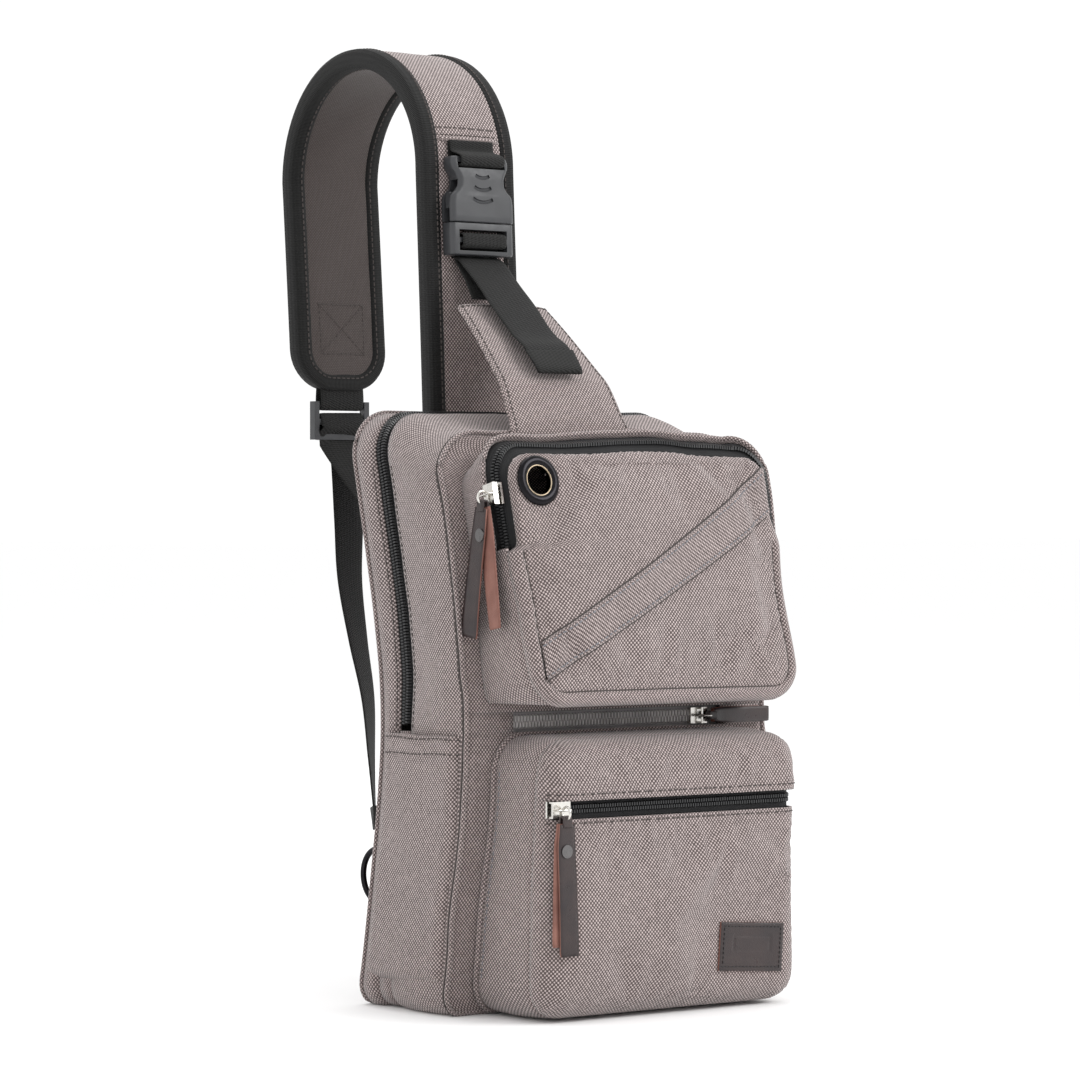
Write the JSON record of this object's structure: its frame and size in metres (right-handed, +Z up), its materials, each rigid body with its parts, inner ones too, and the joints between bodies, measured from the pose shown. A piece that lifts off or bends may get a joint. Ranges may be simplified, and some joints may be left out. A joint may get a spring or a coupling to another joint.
{
  "type": "sling bag",
  "caption": "Canvas sling bag with two zipped front pockets, slip side pockets and a padded shoulder strap with a side-release buckle.",
  "frame": {"origin": "centre of the flat base, on the surface the bag stands on", "axes": "+Z up along the bag, -Y towards the front pockets, +X to the right seen from the front"},
  "size_m": [0.2337, 0.3191, 0.547],
  "materials": {
    "canvas": "heavy two-tone basket-weave cotton canvas",
    "dark_fabric": "brown ribbed strap backing",
    "lining": "plain polyester lining",
    "foam": "polyethylene foam sheet, hidden",
    "zip": "black nylon coil and tape",
    "binding": "black ribbed binding tape",
    "webbing": "black polypropylene webbing",
    "plastic": "dark grey acetal",
    "leather": "glossy dark brown leather with raw edges",
    "nickel": "bright nickel plate",
    "gunmetal": "dark gunmetal plate"
  },
  "bodies": {
    "root": {"back_panel": "canvas", "back_foam": "foam", "rear_gusset": "canvas", "lower_gusset": "canvas", "front_panel_lower": "canvas", "rear_lining": "lining", "side_pocket_left": "canvas", "side_pocket_right": "canvas", "main_zip_tape_rear": "zip", "recess_zip_tape": "zip", "lower_pocket_front": "canvas", "lower_pocket_top": "canvas", "lower_pocket_gusset": "canvas", "lower_zip_tape": "zip", "leather_patch": "leather", "strap_outer": "canvas", "strap_foam": "foam", "strap_inner": "dark_fabric", "strap_binding": "binding", "strap_end_loop": "webbing", "ladder_lock": "plastic", "load_webbing": "webbing", "buckle_anchor": "webbing", "buckle_female": "plastic", "d_ring_tabs": "webbing", "d_ring_right": "gunmetal", "strap_hook": "plastic", "buckle_webbing": "webbing"},
    "front_flap": {"front_panel_upper": "canvas", "front_gusset": "canvas", "front_lining": "lining", "main_zip_tape_front": "zip", "tab": "canvas", "upper_pocket_face": "canvas", "upper_pocket_gusset": "canvas", "upper_zip_tape": "zip", "diagonal_band": "canvas", "grommet_front": "gunmetal", "grommet_back": "gunmetal"},
    "main_slider": {"main_slider": "nickel"},
    "main_pull": {"main_pull_ring": "nickel", "main_pull_leather": "leather", "main_pull_rivet": "gunmetal"},
    "recess_slider": {"recess_slider": "nickel"},
    "recess_pull": {"recess_pull_ring": "nickel", "recess_pull_leather": "leather"},
    "lower_slider": {"lower_slider": "nickel"},
    "lower_pull": {"lower_pull_ring": "nickel", "lower_pull_leather": "leather", "lower_pull_rivet": "gunmetal"},
    "upper_slider": {"upper_slider": "nickel"},
    "upper_pull": {"upper_pull_ring": "nickel", "upper_pull_leather": "leather", "upper_pull_rivet": "gunmetal"},
    "buckle_male": {"buckle_male": "plastic"},
    "prong_left": {"prong_left": "plastic"},
    "prong_right": {"prong_right": "plastic"},
    "d_ring_left": {"d_ring_left": "gunmetal"},
    "adjuster_tail": {"adjuster_tail": "webbing"}
  },
  "joints": [
    {"name": "front_fold", "type": "hinge", "parent": "root", "child": "front_flap", "pos_m": [0, -0.05558, 0.17], "axis": [1, 0, 0], "range_deg": [0, 12], "deforming": ["buckle_webbing"]},
    {"name": "main_slider_run", "type": "hinge", "parent": "root", "child": "main_slider", "pos_m": [0, 0.683, 0.145], "axis": [-1, 0, 0], "range_deg": [0, 9.9]},
    {"name": "main_pull_swing", "type": "hinge", "parent": "main_slider", "child": "main_pull", "pos_m": [0.1128, 0.00053, 0.172], "axis": [0, -1, 0], "range_deg": [0, 90]},
    {"name": "recess_slider_run", "type": "slide", "parent": "root", "child": "recess_slider", "axis": [-1, 0, 0], "range_m": [0, 0.115]},
    {"name": "recess_pull_swing", "type": "hinge", "parent": "recess_slider", "child": "recess_pull", "pos_m": [0.06, -0.06043, 0.161], "axis": [0, 0, -1], "range_deg": [0, 30]},
    {"name": "lower_slider_run", "type": "slide", "parent": "root", "child": "lower_slider", "axis": [1, 0, 0], "range_m": [0, 0.16]},
    {"name": "lower_pull_swing", "type": "hinge", "parent": "lower_slider", "child": "lower_pull", "pos_m": [-0.08, -0.1128, 0.116], "axis": [-1, 0, 0], "range_deg": [0, 90]},
    {"name": "upper_slider_run", "type": "slide", "parent": "front_flap", "child": "upper_slider", "axis": [0, 0.2147, 0.9767], "range_m": [-0.022, 0.004]},
    {"name": "upper_pull_swing", "type": "hinge", "parent": "upper_slider", "child": "upper_pull", "pos_m": [-0.1008, -0.06873, 0.28565], "axis": [0, 1, 0], "range_deg": [0, 90]},
    {"name": "buckle_release", "type": "slide", "parent": "root", "child": "buckle_male", "axis": [0, -0.0462, -0.9989], "range_m": [0, 0.028]},
    {"name": "prong_right_press", "type": "hinge", "parent": "buckle_male", "child": "prong_right", "pos_m": [-0.008, 0.04706, 0.44314], "axis": [0, -0.9989, 0.0462], "range_deg": [0, 11.5], "stiffness_Nm_per_rad": 0.05},
    {"name": "prong_left_press", "type": "hinge", "parent": "buckle_male", "child": "prong_left", "pos_m": [-0.028, 0.04706, 0.44314], "axis": [0, 0.9989, -0.0462], "range_deg": [0, 11.5], "stiffness_Nm_per_rad": 0.05},
    {"name": "d_ring_left_swing", "type": "hinge", "parent": "root", "child": "d_ring_left", "pos_m": [-0.097, 0.035, 0.072], "axis": [0, 0, 1], "range_deg": [-60, 60]},
    {"name": "adjuster_tail_swing", "type": "hinge", "parent": "root", "child": "adjuster_tail", "pos_m": [-0.01, 0.1905, 0.319], "axis": [1, 0, 0], "range_deg": [0, 15]}
  ],
  "couplings": [
    {"joint": "prong_left_press", "follows": "prong_right_press", "ratio": 1}
  ]
}
